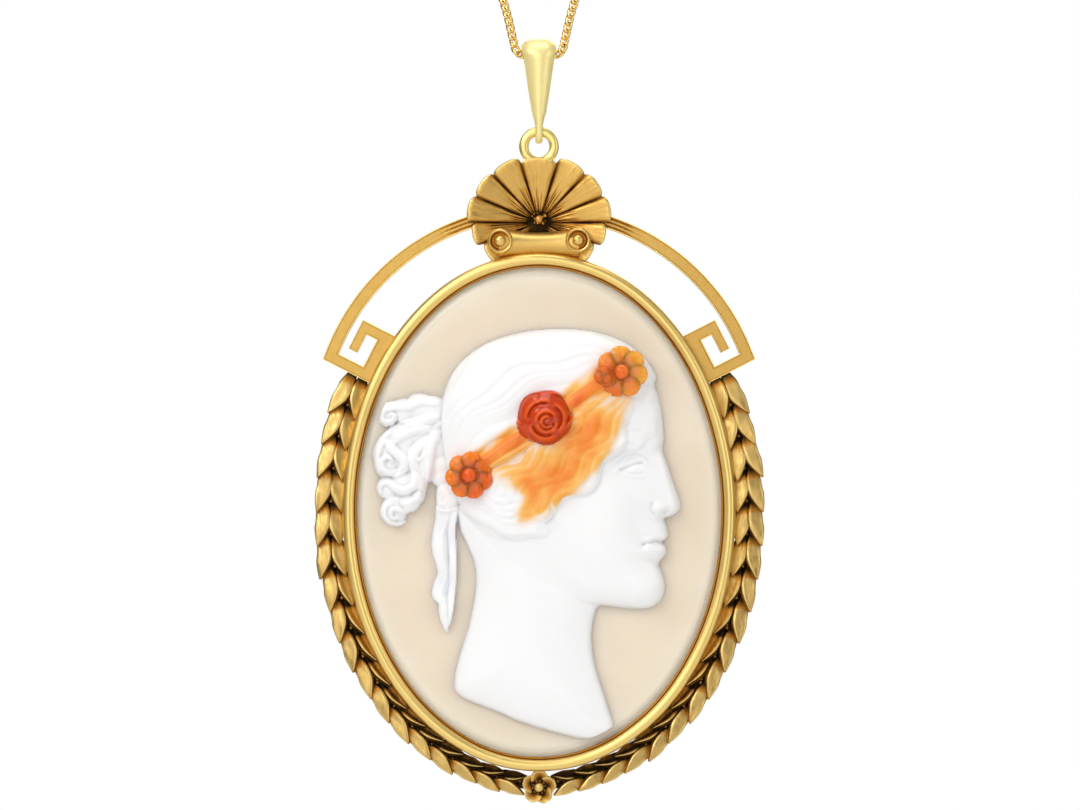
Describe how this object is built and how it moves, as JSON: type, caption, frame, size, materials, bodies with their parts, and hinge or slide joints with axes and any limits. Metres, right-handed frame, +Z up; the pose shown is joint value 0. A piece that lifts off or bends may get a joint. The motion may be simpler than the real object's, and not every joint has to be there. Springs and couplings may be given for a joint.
{
  "type": "cameo pendant on a neck chain",
  "caption": "Oval carved hardstone cameo of a wreathed head in a gold mount with a leaf garland, key-ended open arches and a shell crest, on a tapered bail and a fine curb chain",
  "frame": {"origin": "the middle of the nape, where the chain sits on the back of the neck", "axes": "+Z up, +X to the right as the front is seen, the carved face looks to -Y; the neck stands to -Y of the origin, inside the loop"},
  "size_m": [0.1038, 0.1029, 0.199],
  "materials": {
    "chain_gold": "polished yellow gold",
    "clasp_gold": "polished yellow gold",
    "bail_gold": "satin yellow gold",
    "frame_gold": "satin yellow gold, dark in the hollows",
    "cameo_stone": "carved and polished layered stone"
  },
  "bodies": {
    "chain": {"chain": "chain_gold", "clasp": "clasp_gold"},
    "bail": {"bail": "bail_gold"},
    "pendant": {"gold_frame": "frame_gold", "cameo": "cameo_stone"}
  },
  "joints": [
    {"name": "bail_swing", "type": "hinge", "parent": "chain", "child": "bail", "pos_m": [0, -0.096, -0.11075], "axis": [1, 0, 0], "range_deg": [-60, 60]},
    {"name": "pendant_swing", "type": "hinge", "parent": "bail", "child": "pendant", "pos_m": [0, -0.096, -0.1199], "axis": [0, 1, 0], "range_deg": [-45, 45]}
  ]
}
